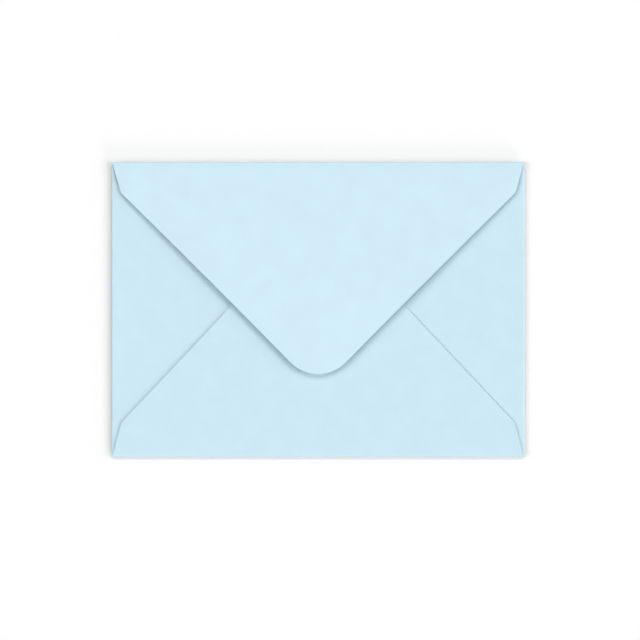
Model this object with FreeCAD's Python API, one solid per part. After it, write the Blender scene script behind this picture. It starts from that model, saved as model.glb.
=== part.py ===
import FreeCAD, Part
from collections import namedtuple
import math
import os

# Paper envelope, lying flap side up on its front panel.
# It is folded from one cross-shaped blank and is a single sheet throughout: a front panel, two side
# flaps folded over it, a bottom flap gummed over the side flaps, and a top flap that is folded shut
# but not stuck down, so it springs up a little towards its tip.
# Sizes are millimetres and degrees. X runs across the width, Y towards the top fold and Z up. The
# origin is at the middle of the envelope, on the surface that it lies on.

# Envelope
ENVELOPE_WIDTH = 175.0
ENVELOPE_HEIGHT = 125.0
PAPER_THICKNESS = 0.16

# Spaces between the layers, from the front panel upwards
POCKET_GAP = 0.6
GUM_THICKNESS = 0.16
TOP_FLAP_CLEARANCE = 0.12

# Flaps. A reach and a shoulder's depth are measured from the envelope's outer edge, and a
# shoulder's inset from the end of the flap's fold.
TOP_FLAP_REACH = 89.8
TOP_SHOULDER_INSET = 3.5
TOP_SHOULDER_DEPTH = 13.1
TOP_TIP_RADIUS = 16.4

BOTTOM_FLAP_REACH = 95.8
BOTTOM_SHOULDER_INSET = 3.6
BOTTOM_SHOULDER_DEPTH = 14.4
BOTTOM_TIP_RADIUS = 17.0

SIDE_FLAP_REACH = 64.8
SIDE_SHOULDER_INSET = 3.4
SIDE_SHOULDER_DEPTH = 13.4
SIDE_TIP_RADIUS = 17.0

# The slanting edges of the flaps are cut very slightly hollow, to this radius
EDGE_HOLLOW_RADIUS = 5000.0

# How much higher the tip of the top flap stands than its fold holds it
TOP_FLAP_LIFT = 1.4

# Gum seams under the slanting edges of the bottom flap, where it lies on the side flaps
GUM_WIDTH = 7.0
GUM_MARGIN = 2.0

# How far a shape that is cut to a flap's outline runs past it
OVERRUN = 2.0

# Height of the space under the bottom and the top flap
BOTTOM_GAP = POCKET_GAP + PAPER_THICKNESS + GUM_THICKNESS
TOP_GAP = BOTTOM_GAP + PAPER_THICKNESS + TOP_FLAP_CLEARANCE


def fold_radius(gap):
    """Outer radius of a fold, which turns half round the space under its flap."""
    return gap / 2 + PAPER_THICKNESS


# Flat part of the front panel, between its four folds
PANEL_WIDTH = ENVELOPE_WIDTH - 2 * fold_radius(POCKET_GAP)
PANEL_HEIGHT = ENVELOPE_HEIGHT - fold_radius(BOTTOM_GAP) - fold_radius(TOP_GAP)

# A flap is drawn with its fold along X at the envelope's outer edge, y = 0, and its tip towards +Y.
# The turn about Z brings it to its own side of the panel, and to_fold is how far from the middle of
# the panel its fold begins.
Flap = namedtuple(
    "Flap", "turn fold_length to_fold gap reach shoulder_inset shoulder_depth tip_radius"
)
BOTTOM_FLAP = Flap(
    0, PANEL_WIDTH, PANEL_HEIGHT / 2, BOTTOM_GAP,
    BOTTOM_FLAP_REACH, BOTTOM_SHOULDER_INSET, BOTTOM_SHOULDER_DEPTH, BOTTOM_TIP_RADIUS,
)
RIGHT_FLAP = Flap(
    90, PANEL_HEIGHT, PANEL_WIDTH / 2, POCKET_GAP,
    SIDE_FLAP_REACH, SIDE_SHOULDER_INSET, SIDE_SHOULDER_DEPTH, SIDE_TIP_RADIUS,
)
TOP_FLAP = Flap(
    180, PANEL_WIDTH, PANEL_HEIGHT / 2, TOP_GAP,
    TOP_FLAP_REACH, TOP_SHOULDER_INSET, TOP_SHOULDER_DEPTH, TOP_TIP_RADIUS,
)
LEFT_FLAP = RIGHT_FLAP._replace(turn=270)

ORIGIN = FreeCAD.Vector(0, 0, 0)
X_AXIS = FreeCAD.Vector(1, 0, 0)
Z_AXIS = FreeCAD.Vector(0, 0, 1)


def at_its_edge(shape, flap):
    """Bring a shape drawn at y = 0 to a flap's own side of the panel."""
    placed = shape.copy()
    placed.translate(FreeCAD.Vector(0, -flap.to_fold - fold_radius(flap.gap), 0))
    placed.rotate(ORIGIN, Z_AXIS, flap.turn)
    return placed


def mirrored(point):
    """The same point on the left of a flap's centre line."""
    return FreeCAD.Vector(-point.x, point.y, point.z)


def towards(start, end, distance):
    """The point that lies a distance from start on the way to end."""
    return start + (end - start).normalize() * distance


def hollow_centre(shoulder, tip_centre, tip_radius):
    """Centre of the arc that runs through the shoulder and touches the rounded tip from outside."""
    to_tip = EDGE_HOLLOW_RADIUS + tip_radius
    apart = tip_centre - shoulder
    distance = apart.Length
    along = (EDGE_HOLLOW_RADIUS**2 - to_tip**2 + distance**2) / (2 * distance)
    beside = math.sqrt(EDGE_HOLLOW_RADIUS**2 - along**2)
    forward = apart / distance
    outward = FreeCAD.Vector(forward.y, -forward.x, 0)
    return shoulder + forward * along + outward * beside


def right_edge_points(flap):
    """Shoulder, middle and end of the slanting edge on the right of a flap."""
    shoulder = FreeCAD.Vector(flap.fold_length / 2 - flap.shoulder_inset, flap.shoulder_depth, 0)
    tip_centre = FreeCAD.Vector(0, flap.reach - flap.tip_radius, 0)
    centre = hollow_centre(shoulder, tip_centre, flap.tip_radius)
    tip_start = towards(tip_centre, centre, flap.tip_radius)
    middle = towards(centre, (shoulder + tip_start) / 2, EDGE_HOLLOW_RADIUS)
    return shoulder, middle, tip_start


def outline(flap):
    """A flap seen from above, from the envelope's outer edge to its tip."""
    corner = FreeCAD.Vector(flap.fold_length / 2, 0, 0)
    fold_end = FreeCAD.Vector(flap.fold_length / 2, fold_radius(flap.gap), 0)
    shoulder, middle, tip_start = right_edge_points(flap)
    tip = FreeCAD.Vector(0, flap.reach, 0)
    edges = [
        Part.LineSegment(corner, fold_end),
        Part.LineSegment(fold_end, shoulder),
        Part.Arc(shoulder, middle, tip_start),
        Part.Arc(tip_start, tip, mirrored(tip_start)),
        Part.Arc(mirrored(tip_start), mirrored(middle), mirrored(shoulder)),
        Part.LineSegment(mirrored(shoulder), mirrored(fold_end)),
        Part.LineSegment(mirrored(fold_end), mirrored(corner)),
        Part.LineSegment(mirrored(corner), corner),
    ]
    return Part.Face(Part.Wire([edge.toShape() for edge in edges]))


def layer(face, bottom, thickness):
    """A face in plan, raised to a height and given a thickness."""
    solid = face.extrude(Z_AXIS * thickness)
    solid.translate(Z_AXIS * bottom)
    return solid


def section_point(centre, radius, angle):
    """Point in the YZ plane, at an angle from straight up towards the outside of the fold."""
    lean = math.radians(angle)
    return centre + FreeCAD.Vector(0, -radius * math.sin(lean), radius * math.cos(lean))


def bent_paper(length, centre, radius, first, last):
    """Paper bent round a centre in the YZ plane, between two angles and over a length along X.

    The radius is that of the middle of the paper.
    """
    outer = radius + PAPER_THICKNESS / 2
    inner = radius - PAPER_THICKNESS / 2
    angles = (first, (first + last) / 2, last)
    outer_points = [section_point(centre, outer, angle) for angle in angles]
    inner_points = [section_point(centre, inner, angle) for angle in reversed(angles)]
    edges = [
        Part.Arc(*outer_points),
        Part.LineSegment(outer_points[-1], inner_points[0]),
        Part.Arc(*inner_points),
        Part.LineSegment(inner_points[-1], outer_points[0]),
    ]
    section = Part.Face(Part.Wire([edge.toShape() for edge in edges]))
    solid = section.extrude(X_AXIS * length)
    solid.translate(X_AXIS * (-length / 2))
    return solid


def fold(flap, lean):
    """The round fold that joins a flap to the panel and leaves the flap leaning up by an angle."""
    outer = fold_radius(flap.gap)
    centre = FreeCAD.Vector(0, outer, outer)
    return bent_paper(flap.fold_length, centre, outer - PAPER_THICKNESS / 2, 180, lean)


def flat_flap(flap):
    """A flap that lies level, with its fold."""
    fold_line = fold_radius(flap.gap)
    underside = PAPER_THICKNESS + flap.gap
    corner = FreeCAD.Vector(-flap.fold_length / 2, fold_line, underside)
    paper = Part.makeBox(flap.fold_length, flap.reach, PAPER_THICKNESS, corner)
    body = paper.common(layer(outline(flap), underside, PAPER_THICKNESS))
    return at_its_edge(body.fuse(fold(flap, 0)), flap)


def arched_flap(flap, lift):
    """A flap that leaves its fold at a slope and arches over until it is level at its tip."""
    fold_line = fold_radius(flap.gap)
    fold_middle = fold_line - PAPER_THICKNESS / 2
    run = flap.reach - fold_line
    lean = 2 * math.atan(lift / run)
    arch_rise = run / math.sin(lean)
    arch_radius = arch_rise + fold_middle
    arch_centre = FreeCAD.Vector(0, flap.reach, fold_line - arch_rise * math.cos(lean))
    past_tip = -math.degrees(OVERRUN / arch_radius)
    arch = bent_paper(
        flap.fold_length + 2 * OVERRUN, arch_centre, arch_radius, math.degrees(lean), past_tip
    )
    height = 2 * fold_line + lift + OVERRUN
    body = arch.common(layer(outline(flap), 0, height))
    return at_its_edge(body.fuse(fold(flap, math.degrees(lean))), flap)


def right_gum_seam():
    """Gum between the bottom flap and the right side flap, along the bottom flap's slanting edge."""
    shoulder, _, tip_start = right_edge_points(BOTTOM_FLAP)
    along = (tip_start - shoulder).normalize()
    inward = FreeCAD.Vector(-along.y, along.x, 0)
    near = inward * GUM_MARGIN
    far = inward * (GUM_MARGIN + GUM_WIDTH)
    corners = [shoulder + near, tip_start + near, tip_start + far, shoulder + far, shoulder + near]
    strip = Part.Face(Part.makePolygon(corners))
    side_flap = outline(RIGHT_FLAP).makeOffset2D(-GUM_MARGIN)
    bottom = POCKET_GAP + 2 * PAPER_THICKNESS
    under_bottom_flap = at_its_edge(layer(strip, bottom, GUM_THICKNESS), BOTTOM_FLAP)
    on_side_flap = at_its_edge(layer(side_flap, bottom, GUM_THICKNESS), RIGHT_FLAP)
    return under_bottom_flap.common(on_side_flap)


def front_panel():
    """The flat panel between the four folds."""
    corner = FreeCAD.Vector(-PANEL_WIDTH / 2, -PANEL_HEIGHT / 2, 0)
    return Part.makeBox(PANEL_WIDTH, PANEL_HEIGHT, PAPER_THICKNESS, corner)


def folded_envelope():
    """The whole sheet, folded and gummed, centred on its own outline."""
    right_seam = right_gum_seam()
    pieces = [
        flat_flap(RIGHT_FLAP),
        flat_flap(LEFT_FLAP),
        right_seam,
        right_seam.mirror(ORIGIN, X_AXIS),
        flat_flap(BOTTOM_FLAP),
        arched_flap(TOP_FLAP, TOP_FLAP_LIFT),
    ]
    sheet = front_panel().multiFuse(pieces).removeSplitter()
    envelope = sheet.Solids[0]
    envelope.translate(FreeCAD.Vector(0, (fold_radius(BOTTOM_GAP) - fold_radius(TOP_GAP)) / 2, 0))
    return envelope


os.makedirs("parts", exist_ok=True)
folded_envelope().exportStep("parts/folded_envelope.step")
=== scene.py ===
import math
from collections import namedtuple

import bmesh
import bpy
from mathutils import Matrix, Vector


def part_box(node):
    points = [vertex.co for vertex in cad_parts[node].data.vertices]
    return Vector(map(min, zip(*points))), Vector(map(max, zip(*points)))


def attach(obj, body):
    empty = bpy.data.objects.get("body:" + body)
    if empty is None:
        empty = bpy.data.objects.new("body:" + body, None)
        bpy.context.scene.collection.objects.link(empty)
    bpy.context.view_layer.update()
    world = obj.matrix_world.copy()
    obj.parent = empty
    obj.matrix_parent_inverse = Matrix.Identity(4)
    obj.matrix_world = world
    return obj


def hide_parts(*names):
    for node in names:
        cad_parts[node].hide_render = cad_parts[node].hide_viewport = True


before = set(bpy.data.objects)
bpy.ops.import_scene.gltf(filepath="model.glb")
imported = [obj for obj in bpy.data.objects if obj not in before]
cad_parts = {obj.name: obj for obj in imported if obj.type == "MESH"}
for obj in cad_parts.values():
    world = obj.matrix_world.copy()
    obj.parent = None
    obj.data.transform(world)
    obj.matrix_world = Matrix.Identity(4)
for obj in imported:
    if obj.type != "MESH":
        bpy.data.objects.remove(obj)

bl_info = {
    "name": "Paper Envelope",
    "version": (1, 0, 0),
    "blender": (4, 5, 0),
    "location": "View3D > Sidebar > Envelope",
    "description": "Folds one pale blue sheet of paper into an envelope and lights it for its picture",
    "category": "Object",
}

# The envelope lies flap side up. X runs across its width, Y from the bottom fold to the top fold
# and Z up from the table. Lengths are metres, written in millimetres times MM.

MM = 0.001
NODE = "folded_envelope"
BODY = "root"
LOW, HIGH = (Vector(corner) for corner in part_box(NODE))

# Turn about Z that brings a flap, drawn pointing to +Y, to its own side of the front panel
BOTTOM, RIGHT, TOP, LEFT = 0, 90, 180, 270

# Mesh spacing: how far apart the rows of a flap lie, the steps round a fold and round a tip, and
# how far from the foremost point of the tip its last row lies
ROW_SPACING = 2.5 * MM
FOLD_STEPS = 12
TIP_STEPS = 14
LAST_TIP_ANGLE = math.radians(2)

# A point this near a fold line lies on it, and faces that meet at less than this angle look smooth
NEAR = 0.001 * MM
SMOOTH_ANGLE = math.radians(35)

# Grain of the paper: faint clouds, fibres and the relief of the fibres. Streaks in the gum
CLOUD_SIZE = 9 * MM
FIBRE_SIZE = 0.35 * MM
FIBRE_RELIEF = 0.035 * MM
RELIEF_STRENGTH = 0.3
GUM_STREAKS = 1.5 * MM

# How matt each surface is, and how much of the light it reflects without taking on its colour
Finish = namedtuple("Finish", "roughness specular")
PAPER_FINISH = Finish(0.85, 0.2)
GUM_FINISH = Finish(0.4, 0.5)
TABLE_FINISH = Finish(1.0, 0.0)

# Angles from +X, in degrees, of the straight cuts by which the gum follows a side flap's tip
GUM_CUTS = range(100, 181, 5)

# Soft lamps all round the table: azimuth from +X, elevation and width in degrees, and share of the
# light that falls on the table
Lamp = namedtuple("Lamp", "azimuth elevation width share")
LAMPS = (
    Lamp(0, 34, 24, 0.105),
    Lamp(60, 34, 24, 0.19),
    Lamp(120, 34, 24, 0.145),
    Lamp(180, 34, 24, 0.105),
    Lamp(210, 34, 24, 0.08),
    Lamp(0, 18, 16, 0.08),
    Lamp(180, 18, 16, 0.08),
    Lamp(210, 18, 16, 0.045),
    Lamp(330, 18, 16, 0.075),
    Lamp(0, 8, 10, 0.025),
    Lamp(300, 8, 10, 0.07),
)

CAMERA_PLACE = Vector((0.78, -4.5, 642)) * MM
CAMERA_LENS = 85
TABLE_SIZE = 6


def length(name, description, millimetres):
    """A length property whose default is given in millimetres."""
    return bpy.props.FloatProperty(
        name=name, description=description, default=millimetres * MM, min=0.0,
        unit="LENGTH", precision=5,
    )


def colour(name, description, red, green, blue):
    """A colour property in linear values."""
    return bpy.props.FloatVectorProperty(
        name=name, description=description, default=(red, green, blue), min=0.0, max=1.0,
        size=3, subtype="COLOR",
    )


def factor(name, description, value):
    """A plain number between zero and one."""
    return bpy.props.FloatProperty(
        name=name, description=description, default=value, min=0.0, max=1.0, subtype="FACTOR",
    )


class EnvelopeSizes(bpy.types.PropertyGroup):
    """Sizes of the folded sheet."""

    width: length("Width", "Width of the folded envelope", (HIGH.x - LOW.x) / MM)
    height: length("Height", "Height of the folded envelope", (HIGH.y - LOW.y) / MM)
    thickness: length("Highest point", "Height of the flap's tip over the table", HIGH.z / MM)
    paper: length("Paper", "Thickness of the paper", 0.16)
    pocket_gap: length("Pocket gap", "Space between the front panel and the side flaps", 0.6)
    gum: length("Gum", "Thickness of the gum between the bottom and side flaps", 0.16)
    top_clearance: length("Top clearance", "Space between the top and bottom flaps at the fold", 0.12)
    hollow: length("Hollow", "Radius to which the slanting edges are cut hollow", 5000)
    top_reach: length("Top reach", "From the top edge to the tip of the top flap", 89.8)
    top_inset: length("Top inset", "How far in the top flap's shoulders lie", 3.5)
    top_depth: length("Top depth", "How far down the top flap's shoulders lie", 13.1)
    top_radius: length("Top tip radius", "Radius of the top flap's tip", 16.4)
    bottom_reach: length("Bottom reach", "From the bottom edge to the tip of the bottom flap", 95.8)
    bottom_inset: length("Bottom inset", "How far in the bottom flap's shoulders lie", 3.6)
    bottom_depth: length("Bottom depth", "How far up the bottom flap's shoulders lie", 14.4)
    bottom_radius: length("Bottom tip radius", "Radius of the bottom flap's tip", 17)
    side_reach: length("Side reach", "From the side edge to the tip of a side flap", 64.8)
    side_inset: length("Side inset", "How far in a side flap's shoulders lie", 3.4)
    side_depth: length("Side depth", "How far from the side edge a side flap's shoulders lie", 13.4)
    side_radius: length("Side tip radius", "Radius of a side flap's tip", 17)
    gum_width: length("Gum width", "Width of a gum seam", 7)
    gum_margin: length("Gum margin", "From the bottom flap's edge to the gum", 2)
    pressed: length("Pressed strip", "Width of the strip along a fold that is pressed flatter", 6)
    press: factor("Press", "How far the layers close at a fold", 0.4)
    crease: length("Crease", "Height towards which the layers close at a fold", 1.15)


class EnvelopeColours(bpy.types.PropertyGroup):
    """Colours of the paper, the gum and the table."""

    paper: colour("Paper", "Colour of the paper", 0.605, 0.811, 0.905)
    flap: colour("Top flap", "Slightly lighter colour of the top flap", 0.638, 0.844, 0.948)
    # The cut-edge colour is painted shade: it darkens the faces of the cut edges to deepen the shadow
    # lines along them
    painted_edge_shade: colour("Cut edge", "Darker colour of the paper where it is cut", 0.33, 0.46, 0.52)
    gum: colour("Gum", "Colour of the dried gum", 0.60, 0.66, 0.66)
    table: colour("Table", "Colour of the table where it lights the paper", 0.40, 0.40, 0.40)
    backdrop: colour("Backdrop", "Colour of the table as it is seen", 1.0, 1.0, 1.0)
    grain: factor("Grain", "How much the paper's colour varies with its fibres", 0.03)


class EnvelopeLight(bpy.types.PropertyGroup):
    """Strength and softness of the lamps."""

    level: bpy.props.FloatProperty(
        name="Level", description="Light on the table, where one renders a colour as it is written",
        default=1.0, min=0.0,
    )
    softness: bpy.props.FloatProperty(
        name="Softness", description="How much wider than usual each lamp is", default=1.0, min=0.0,
    )


# A flap as it is drawn, pointing to +Y: its turn, the length of its fold, Y of the panel's middle,
# how far the fold lies from there, the space under the flap, how far its tip reaches from the outer
# edge of the envelope, how far in and how deep its shoulders lie, and the radius of its tip
Flap = namedtuple("Flap", "turn fold_length middle to_fold gap reach inset depth radius")


def fold_radius(sizes, gap):
    """Outer radius of a fold, which turns half round the space under its flap."""
    return gap / 2 + sizes.paper


def gaps(sizes):
    """Height of the space under a side flap, the bottom flap and the top flap."""
    side = sizes.pocket_gap
    bottom = side + sizes.paper + sizes.gum
    top = bottom + sizes.paper + sizes.top_clearance
    return side, bottom, top


def panel_size(sizes):
    """Width, height and middle of the flat front panel between its four folds."""
    side, bottom, top = gaps(sizes)
    width = sizes.width - 2 * fold_radius(sizes, side)
    height = sizes.height - fold_radius(sizes, bottom) - fold_radius(sizes, top)
    middle = (fold_radius(sizes, bottom) - fold_radius(sizes, top)) / 2
    return width, height, middle


def flaps(sizes):
    """The four flaps, in the order in which they are folded over."""
    side, bottom, top = gaps(sizes)
    width, height, middle = panel_size(sizes)
    across = (width, middle, height / 2)
    along = (height, middle, width / 2)
    side_cut = (side, sizes.side_reach, sizes.side_inset, sizes.side_depth, sizes.side_radius)
    bottom_cut = (
        bottom, sizes.bottom_reach, sizes.bottom_inset, sizes.bottom_depth, sizes.bottom_radius
    )
    top_cut = (top, sizes.top_reach, sizes.top_inset, sizes.top_depth, sizes.top_radius)
    return {
        "right": Flap(RIGHT, *along, *side_cut),
        "left": Flap(LEFT, *along, *side_cut),
        "bottom": Flap(BOTTOM, *across, *bottom_cut),
        "top": Flap(TOP, *across, *top_cut),
    }


def turned(flap, vector):
    """A direction drawn for a flap that points to +Y, turned to the flap's own side."""
    return Matrix.Rotation(math.radians(flap.turn), 3, "Z") @ Vector(vector)


def placed(flap, point):
    """A point drawn with the fold along X at y = 0, moved to the flap's own side."""
    x, y, z = point
    return turned(flap, (x, y - flap.to_fold, z)) + Vector((0, flap.middle, 0))


def tip_depth(flap):
    """Depth at which the centre of a flap's rounded tip lies."""
    return flap.reach - flap.radius


def shoulder(flap):
    """Where a flap's right slanting edge starts, across the flap and in depth."""
    return Vector((flap.fold_length / 2 - flap.inset, flap.depth))


def hollow_circle(sizes, flap):
    """Centre of the arc that the right slanting edge follows, across the flap and in depth."""
    # The arc starts at the shoulder and touches the circle of the tip from outside
    to_tip = sizes.hollow + flap.radius
    apart = Vector((0, tip_depth(flap))) - shoulder(flap)
    along = (sizes.hollow**2 - to_tip**2 + apart.length_squared) / (2 * apart.length)
    beside = math.sqrt(sizes.hollow**2 - along**2)
    forward = apart.normalized()
    outward = Vector((forward.y, -forward.x))
    return shoulder(flap) + forward * along + outward * beside


def edge_end(sizes, flap):
    """Where the right slanting edge runs into the rounded tip, across the flap and in depth."""
    tip_centre = Vector((0, tip_depth(flap)))
    to_circle = hollow_circle(sizes, flap) - tip_centre
    return tip_centre + to_circle.normalized() * flap.radius


def half_width(sizes, flap, depth):
    """Half the width of a flap at a depth from the envelope's outer edge."""
    if depth > edge_end(sizes, flap).y:
        return math.sqrt(flap.radius**2 - (depth - tip_depth(flap)) ** 2)
    if depth > flap.depth:
        centre = hollow_circle(sizes, flap)
        return centre.x - math.sqrt(sizes.hollow**2 - (depth - centre.y) ** 2)
    fold = fold_radius(sizes, flap.gap)
    return flap.fold_length / 2 - flap.inset * (depth - fold) / (flap.depth - fold)


def even_steps(start, end, spacing):
    """Values after start up to end, as evenly spaced as the spacing allows."""
    count = max(1, round((end - start) / spacing))
    return [start + (end - start) * (step + 1) / count for step in range(count)]


def row_depths(sizes, flap):
    """Depths of a flap's rows: down to the shoulders, along the slanting edges, round the tip."""
    fold = fold_radius(sizes, flap.gap)
    start = edge_end(sizes, flap).y
    start_angle = math.acos((start - tip_depth(flap)) / flap.radius)
    turn = (start_angle - LAST_TIP_ANGLE) / TIP_STEPS
    rounds = [
        tip_depth(flap) + flap.radius * math.cos(start_angle - turn * (step + 1))
        for step in range(TIP_STEPS)
    ]
    return (
        even_steps(fold, flap.depth, ROW_SPACING)
        + even_steps(flap.depth, start, ROW_SPACING)
        + rounds
    )


def flap_lift(sizes, flap):
    """How much higher the tip stands than the fold holds it, which is nothing but for the top."""
    if flap.turn != TOP:
        return 0.0
    return sizes.thickness - 2 * fold_radius(sizes, flap.gap)


def lean(sizes, flap):
    """Angle at which a flap leaves its fold."""
    run = flap.reach - fold_radius(sizes, flap.gap)
    return 2 * math.atan(flap_lift(sizes, flap) / run)


def paper_height(sizes, flap, depth):
    """Height of the middle of the paper at a depth along a flap."""
    outer = fold_radius(sizes, flap.gap)
    middle = outer - sizes.paper / 2
    angle = lean(sizes, flap)
    if angle == 0:
        return outer + middle
    # The top flap leaves its fold at an angle and arches over until its tip lies level
    arch_rise = (flap.reach - outer) / math.sin(angle)
    arch_radius = arch_rise + middle
    centre = outer - arch_rise * math.cos(angle)
    return centre + math.sqrt(arch_radius**2 - (flap.reach - depth) ** 2)


def edit(obj):
    """Edit mode on one object, with nothing else selected."""
    bpy.ops.object.select_all(action="DESELECT")
    bpy.context.view_layer.objects.active = obj
    obj.select_set(True)
    bpy.ops.object.mode_set(mode="EDIT")


def new_grid(name, columns, rows):
    """A unit grid at the origin, in edit mode."""
    bpy.ops.object.select_all(action="DESELECT")
    bpy.ops.mesh.primitive_grid_add(x_subdivisions=columns, y_subdivisions=rows, size=1)
    grid = bpy.context.object
    grid.name = name
    grid.data.name = name
    edit(grid)
    return grid


def select_fold_line(sizes, obj, flap):
    """Select the edge of the flat front panel that a flap is folded along."""
    bpy.ops.mesh.select_all(action="DESELECT")
    bpy.ops.mesh.select_mode(type="EDGE")
    mesh = bmesh.from_edit_mesh(obj.data)
    to_line = turned(flap, (0, 1, 0))
    fold_middle = placed(flap, (0, 0, sizes.paper / 2))

    def on_line(vertex):
        off = vertex.co - fold_middle
        return abs(off.dot(to_line)) < NEAR and abs(off.z) < NEAR

    for edge in mesh.edges:
        if edge.is_boundary and all(on_line(vertex) for vertex in edge.verts):
            edge.select = True
    bmesh.update_edit_mesh(obj.data)


def fold_over(sizes, obj, flap):
    """Turn the paper round the fold, then run it back over the panel row by row."""
    outer = fold_radius(sizes, flap.gap)
    select_fold_line(sizes, obj, flap)
    bpy.ops.mesh.spin(
        steps=FOLD_STEPS, angle=math.pi - lean(sizes, flap),
        center=placed(flap, (0, 0, outer)), axis=turned(flap, (1, 0, 0)),
    )
    # Depth and height at which the turn round the fold leaves the edge of the paper
    middle = outer - sizes.paper / 2
    depth = outer - middle * math.sin(lean(sizes, flap))
    height = outer + middle * math.cos(lean(sizes, flap))
    width = flap.fold_length / 2
    for next_depth in row_depths(sizes, flap):
        next_height = paper_height(sizes, flap, next_depth)
        next_width = half_width(sizes, flap, next_depth)
        step = turned(flap, (0, next_depth - depth, 0)) + Vector((0, 0, next_height - height))
        bpy.ops.mesh.extrude_region_move(TRANSFORM_OT_translate={"value": step})
        narrowed = next_width / width
        scale = (narrowed, 1, 1) if flap.turn in (BOTTOM, TOP) else (1, narrowed, 1)
        bpy.ops.transform.resize(value=scale, center_override=(0, flap.middle, 0))
        depth, height, width = next_depth, next_height, next_width


def fold_sheet(sizes):
    """The middle surface of the sheet: the front panel and its four flaps, folded over."""
    width, height, middle = panel_size(sizes)
    sheet = new_grid("folded_paper", round(width / ROW_SPACING), round(height / ROW_SPACING))
    bpy.ops.transform.resize(value=(width, height, 1))
    bpy.ops.transform.translate(value=(0, middle, sizes.paper / 2))
    all_flaps = flaps(sizes)
    for side in ("right", "left", "bottom"):
        fold_over(sizes, sheet, all_flaps[side])
    first = len(bmesh.from_edit_mesh(sheet.data).verts)
    fold_over(sizes, sheet, all_flaps["top"])
    bpy.ops.object.mode_set(mode="OBJECT")
    mark_top_flap(sheet, first, 2 * fold_radius(sizes, all_flaps["top"].gap))
    return sheet


def mark_top_flap(sheet, first, fold_top):
    """Mark the top flap's vertices, from the first on, in an attribute that fades in at its fold."""
    mark = sheet.data.attributes.new("top_flap", "FLOAT", "POINT")
    for vertex in sheet.data.vertices[first:]:
        mark.data[vertex.index].value = min(1.0, vertex.co.z / fold_top)


def closing(sizes, to_edge):
    """How far the layers have closed at a distance from the edge of the envelope."""
    return sizes.press * max(0.0, 1 - to_edge / sizes.pressed) ** 2


def press_folds(sizes, sheet):
    """Press the round folds flatter, which also lifts the edges of the panel off the table."""
    # Height of the middle of the side flaps' paper
    side_flap = 2 * fold_radius(sizes, sizes.pocket_gap) - sizes.paper / 2
    for vertex in sheet.data.vertices:
        x, y, z = vertex.co
        # The bottom flap is stuck to the side flaps and moves with them
        moved = min(z, side_flap) if y < 0 else z
        z += (sizes.crease - moved) * closing(sizes, sizes.width / 2 - abs(x))
        vertex.co.z = z + (sizes.crease - z) * closing(sizes, sizes.height / 2 - abs(y))


def thicken(sheet, thickness):
    """Give the folded surface the thickness of the paper, half to each side, and mark its cut edges,
    where the paper's material paints shade.
    """
    solidify = sheet.modifiers.new("Paper thickness", "SOLIDIFY")
    solidify.thickness = thickness
    solidify.offset = 0
    solidify.use_quality_normals = True
    # The faces of both sides of the paper come first, and those of its cut edges after them
    both_sides = 2 * len(sheet.data.polygons)
    bpy.ops.object.modifier_apply(modifier=solidify.name)
    # The faces of the cut edges are marked for the shade that the paper's material paints on them
    painted_edge_shade = sheet.data.attributes.new("painted_edge_shade", "FLOAT", "FACE")
    for face in sheet.data.polygons[both_sides:]:
        painted_edge_shade.data[face.index].value = 1.0
    edit(sheet)
    bpy.ops.mesh.select_all(action="SELECT")
    bpy.ops.mesh.normals_make_consistent(inside=False)
    bpy.ops.object.mode_set(mode="OBJECT")
    bpy.ops.object.shade_smooth_by_angle(angle=SMOOTH_ANGLE)


def gum_strip(sizes):
    """Outline of the right gum seam, under the bottom flap's slanting edge, in edit mode."""
    flap = flaps(sizes)["bottom"]
    start, end = shoulder(flap), edge_end(sizes, flap)
    along = end - start
    inward = Vector((-along.y, along.x)).normalized()
    middle = (start + end) / 2 + inward * (sizes.gum_margin + sizes.gum_width / 2)
    height = sizes.pocket_gap + 2 * sizes.paper
    place = placed(flap, (middle.x, middle.y - fold_radius(sizes, flap.gap), height))
    bpy.ops.object.select_all(action="DESELECT")
    bpy.ops.mesh.primitive_plane_add(size=1)
    strip = bpy.context.object
    strip.name = "gum_seams"
    strip.data.name = "gum_seams"
    edit(strip)
    bpy.ops.mesh.select_all(action="SELECT")
    bpy.ops.transform.resize(value=(along.length, sizes.gum_width, 1))
    bpy.ops.transform.rotate(
        value=-math.atan2(along.y, along.x), orient_axis="Z", center_override=(0, 0, 0)
    )
    bpy.ops.transform.translate(value=place)
    return strip


def cut_at_side_flap(sizes):
    """Cut the gum strip in edit mode off where the right side flap's rounded tip ends."""
    flap = flaps(sizes)["right"]
    tip_centre = placed(flap, (0, tip_depth(flap) - fold_radius(sizes, flap.gap), 0))
    radius = flap.radius - sizes.gum_margin
    for degrees in GUM_CUTS:
        angle = math.radians(degrees)
        outward = Vector((math.cos(angle), math.sin(angle), 0))
        bpy.ops.mesh.select_all(action="SELECT")
        bpy.ops.mesh.bisect(
            plane_co=tip_centre + outward * radius, plane_no=outward, clear_outer=True
        )


def gum_seams(sizes):
    """The two gum seams that hold the bottom flap down on the side flaps."""
    seams = gum_strip(sizes)
    cut_at_side_flap(sizes)
    bpy.ops.mesh.select_all(action="SELECT")
    bpy.ops.mesh.extrude_region_move(TRANSFORM_OT_translate={"value": (0, 0, sizes.gum)})
    bpy.ops.mesh.select_all(action="SELECT")
    bpy.ops.mesh.normals_make_consistent(inside=False)
    bpy.ops.object.mode_set(mode="OBJECT")
    mirror = seams.modifiers.new("Left seam", "MIRROR")
    bpy.ops.object.modifier_apply(modifier=mirror.name)
    return seams


def new_material(name, finish):
    """A material with a Principled shader of a finish, and the shader."""
    material = bpy.data.materials.new(name)
    material.use_nodes = True
    shader = material.node_tree.nodes["Principled BSDF"]
    shader.inputs["Roughness"].default_value = finish.roughness
    shader.inputs["Specular IOR Level"].default_value = finish.specular
    return material, shader


def fill(tree, socket, value):
    """Set an input to a value, or link it to another node's output."""
    if isinstance(value, bpy.types.NodeSocket):
        tree.links.new(value, socket)
    else:
        socket.default_value = value


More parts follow.
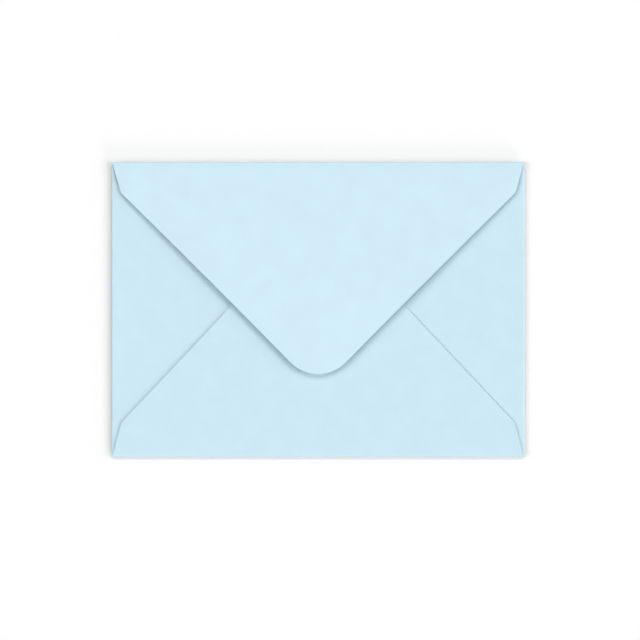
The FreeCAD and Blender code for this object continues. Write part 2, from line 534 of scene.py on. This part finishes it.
def add_node(tree, kind, **inputs):
    """A shader node with its inputs set to values or linked to the outputs of other nodes."""
    node = tree.nodes.new(kind)
    for name, value in inputs.items():
        fill(tree, node.inputs[name], value)
    return node


def noise(tree, place, grain_size, detail):
    """Noise whose patches are about as large as grain_size, averaging one half."""
    return add_node(
        tree, "ShaderNodeTexNoise", Vector=place, Scale=1 / grain_size, Detail=detail
    ).outputs["Fac"]


def mixed(tree, factor_socket, first, second, blend="MIX"):
    """Two colours mixed by a factor."""
    node = tree.nodes.new("ShaderNodeMix")
    node.data_type = "RGBA"
    node.blend_type = blend
    # A mix node has inputs of every kind, and these are the ones for colours
    factor_input, first_input, second_input = (node.inputs[index] for index in (0, 6, 7))
    fill(tree, factor_input, factor_socket)
    fill(tree, first_input, first)
    fill(tree, second_input, second)
    return node.outputs[2]


def shade(tree, value, spread):
    """A factor round one, as far from it as value is from one half, times twice the spread."""
    ends = {"From Min": 0, "From Max": 1, "To Min": 1 - spread, "To Max": 1 + spread}
    return add_node(tree, "ShaderNodeMapRange", Value=value, **ends).outputs["Result"]


def opaque(rgb):
    """A colour with full alpha, for a colour socket."""
    return (*rgb, 1)


def paper_material(colours):
    """Matt, fine-grained paper, a little lighter on the top flap and darkened with painted shade where
    it is cut.
    """
    material, shader = new_material("pale blue paper", PAPER_FINISH)
    tree = material.node_tree
    place = tree.nodes.new("ShaderNodeTexCoord").outputs["Object"]
    tint = opaque(colours.paper)
    # The second mark paints shade on the faces of the cut edges
    for attribute_name, other in (("top_flap", colours.flap), ("painted_edge_shade", colours.painted_edge_shade)):
        attribute = tree.nodes.new("ShaderNodeAttribute")
        attribute.attribute_name = attribute_name
        tint = mixed(tree, attribute.outputs["Fac"], tint, opaque(other))
    clouds = noise(tree, place, CLOUD_SIZE, detail=2)
    fibres = noise(tree, place, FIBRE_SIZE, detail=4)
    for pattern in (clouds, fibres):
        tint = mixed(tree, 1.0, tint, shade(tree, pattern, colours.grain), "MULTIPLY")
    tree.links.new(tint, shader.inputs["Base Color"])
    relief = add_node(
        tree, "ShaderNodeBump", Strength=RELIEF_STRENGTH, Distance=FIBRE_RELIEF, Height=fibres
    )
    tree.links.new(relief.outputs["Normal"], shader.inputs["Normal"])
    return material


def gum_material(colours):
    """Dried gum, brushed on in one thin coat."""
    material, shader = new_material("dried gum", GUM_FINISH)
    tree = material.node_tree
    place = tree.nodes.new("ShaderNodeTexCoord").outputs["Object"]
    streaks = noise(tree, place, GUM_STREAKS, detail=3)
    tint = mixed(tree, 1.0, opaque(colours.gum), shade(tree, streaks, 2 * colours.grain), "MULTIPLY")
    tree.links.new(tint, shader.inputs["Base Color"])
    return material


def where_seen(tree):
    """One for rays from the camera, straight or by way of gloss or glass, and nought for others."""
    light_path = tree.nodes.new("ShaderNodeLightPath")
    seen = light_path.outputs["Is Camera Ray"]
    for ray in ("Is Glossy Ray", "Is Transmission Ray"):
        either = tree.nodes.new("ShaderNodeMath")
        either.operation = "MAXIMUM"
        fill(tree, either.inputs[0], seen)
        fill(tree, either.inputs[1], light_path.outputs[ray])
        seen = either.outputs[0]
    return seen


def table_material(colours):
    """Plain table that is seen white but throws back less light, and keeps its shadows."""
    material, shader = new_material("table", TABLE_FINISH)
    tree = material.node_tree
    tint = mixed(tree, where_seen(tree), opaque(colours.table), opaque(colours.backdrop))
    tree.links.new(tint, shader.inputs["Base Color"])
    return material


def paint(obj, material):
    """Give an object its one material."""
    obj.data.materials.clear()
    obj.data.materials.append(material)


class ENVELOPE_OT_fold_sheet(bpy.types.Operator):
    """Fold the sheet of paper into an envelope"""

    bl_idname = "envelope.fold_sheet"
    bl_label = "Fold Sheet"

    def execute(self, context):
        sizes = context.scene.envelope_sizes
        sheet = fold_sheet(sizes)
        press_folds(sizes, sheet)
        thicken(sheet, sizes.paper)
        paint(sheet, paper_material(context.scene.envelope_colours))
        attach(sheet, BODY)
        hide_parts(NODE)
        return {"FINISHED"}


class ENVELOPE_OT_lay_gum(bpy.types.Operator):
    """Lay the gum seams between the bottom flap and the side flaps"""

    bl_idname = "envelope.lay_gum"
    bl_label = "Lay Gum"

    def execute(self, context):
        seams = gum_seams(context.scene.envelope_sizes)
        paint(seams, gum_material(context.scene.envelope_colours))
        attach(seams, BODY)
        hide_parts(NODE)
        return {"FINISHED"}


def lay_table(colours):
    """A plain table under the envelope."""
    bpy.ops.object.select_all(action="DESELECT")
    bpy.ops.mesh.primitive_plane_add(size=TABLE_SIZE)
    table = bpy.context.object
    table.name = "table"
    paint(table, table_material(colours))


def hang_lamp(lamp, light):
    """One far, soft lamp that shines on the middle of the table."""
    tilt = math.radians(90 - lamp.elevation)
    turn = math.radians(90 + lamp.azimuth)
    bpy.ops.object.light_add(type="SUN", rotation=(tilt, 0, turn))
    sun = bpy.context.object.data
    sun.angle = light.softness * math.radians(lamp.width)
    # From straight above, a sun of strength pi shows a matt colour as it is written
    sun.energy = math.pi * light.level * lamp.share / math.sin(math.radians(lamp.elevation))


def surround(colours):
    """A plain white world that is seen but throws no light."""
    world = bpy.data.worlds.new("studio")
    world.use_nodes = True
    tree = world.node_tree
    background = tree.nodes["Background"]
    background.inputs["Color"].default_value = opaque(colours.backdrop)
    tree.links.new(where_seen(tree), background.inputs["Strength"])
    bpy.context.scene.world = world


def set_camera():
    """A camera that looks straight down on the envelope."""
    bpy.ops.object.camera_add(location=CAMERA_PLACE, rotation=(0, 0, 0))
    camera = bpy.context.object
    camera.data.lens = CAMERA_LENS
    bpy.context.scene.camera = camera


class ENVELOPE_OT_set_stage(bpy.types.Operator):
    """Set the table, the lamps and the camera"""

    bl_idname = "envelope.set_stage"
    bl_label = "Set Stage"

    def execute(self, context):
        scene = context.scene
        lay_table(scene.envelope_colours)
        for lamp in LAMPS:
            hang_lamp(lamp, scene.envelope_light)
        surround(scene.envelope_colours)
        set_camera()
        scene.view_settings.view_transform = "Standard"
        return {"FINISHED"}


class ENVELOPE_PT_sidebar(bpy.types.Panel):
    """The steps that make the envelope and its picture"""

    bl_label = "Paper Envelope"
    bl_idname = "ENVELOPE_PT_sidebar"
    bl_space_type = "VIEW_3D"
    bl_region_type = "UI"
    bl_category = "Envelope"

    def draw(self, context):
        scene = context.scene
        for group in (scene.envelope_sizes, scene.envelope_colours, scene.envelope_light):
            box = self.layout.box()
            for name in group.__annotations__:
                box.prop(group, name)
        for step in (ENVELOPE_OT_fold_sheet, ENVELOPE_OT_lay_gum, ENVELOPE_OT_set_stage):
            self.layout.operator(step.bl_idname)


CLASSES = (
    EnvelopeSizes,
    EnvelopeColours,
    EnvelopeLight,
    ENVELOPE_OT_fold_sheet,
    ENVELOPE_OT_lay_gum,
    ENVELOPE_OT_set_stage,
    ENVELOPE_PT_sidebar,
)


def register():
    for each in CLASSES:
        bpy.utils.register_class(each)
    bpy.types.Scene.envelope_sizes = bpy.props.PointerProperty(type=EnvelopeSizes)
    bpy.types.Scene.envelope_colours = bpy.props.PointerProperty(type=EnvelopeColours)
    bpy.types.Scene.envelope_light = bpy.props.PointerProperty(type=EnvelopeLight)


def unregister():
    del bpy.types.Scene.envelope_light
    del bpy.types.Scene.envelope_colours
    del bpy.types.Scene.envelope_sizes
    for each in reversed(CLASSES):
        bpy.utils.unregister_class(each)


def main():
    """Make the envelope and its stage."""
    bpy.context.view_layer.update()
    register()
    bpy.ops.envelope.fold_sheet()
    bpy.ops.envelope.lay_gum()
    bpy.ops.envelope.set_stage()


if __name__ == "__main__":
    main()
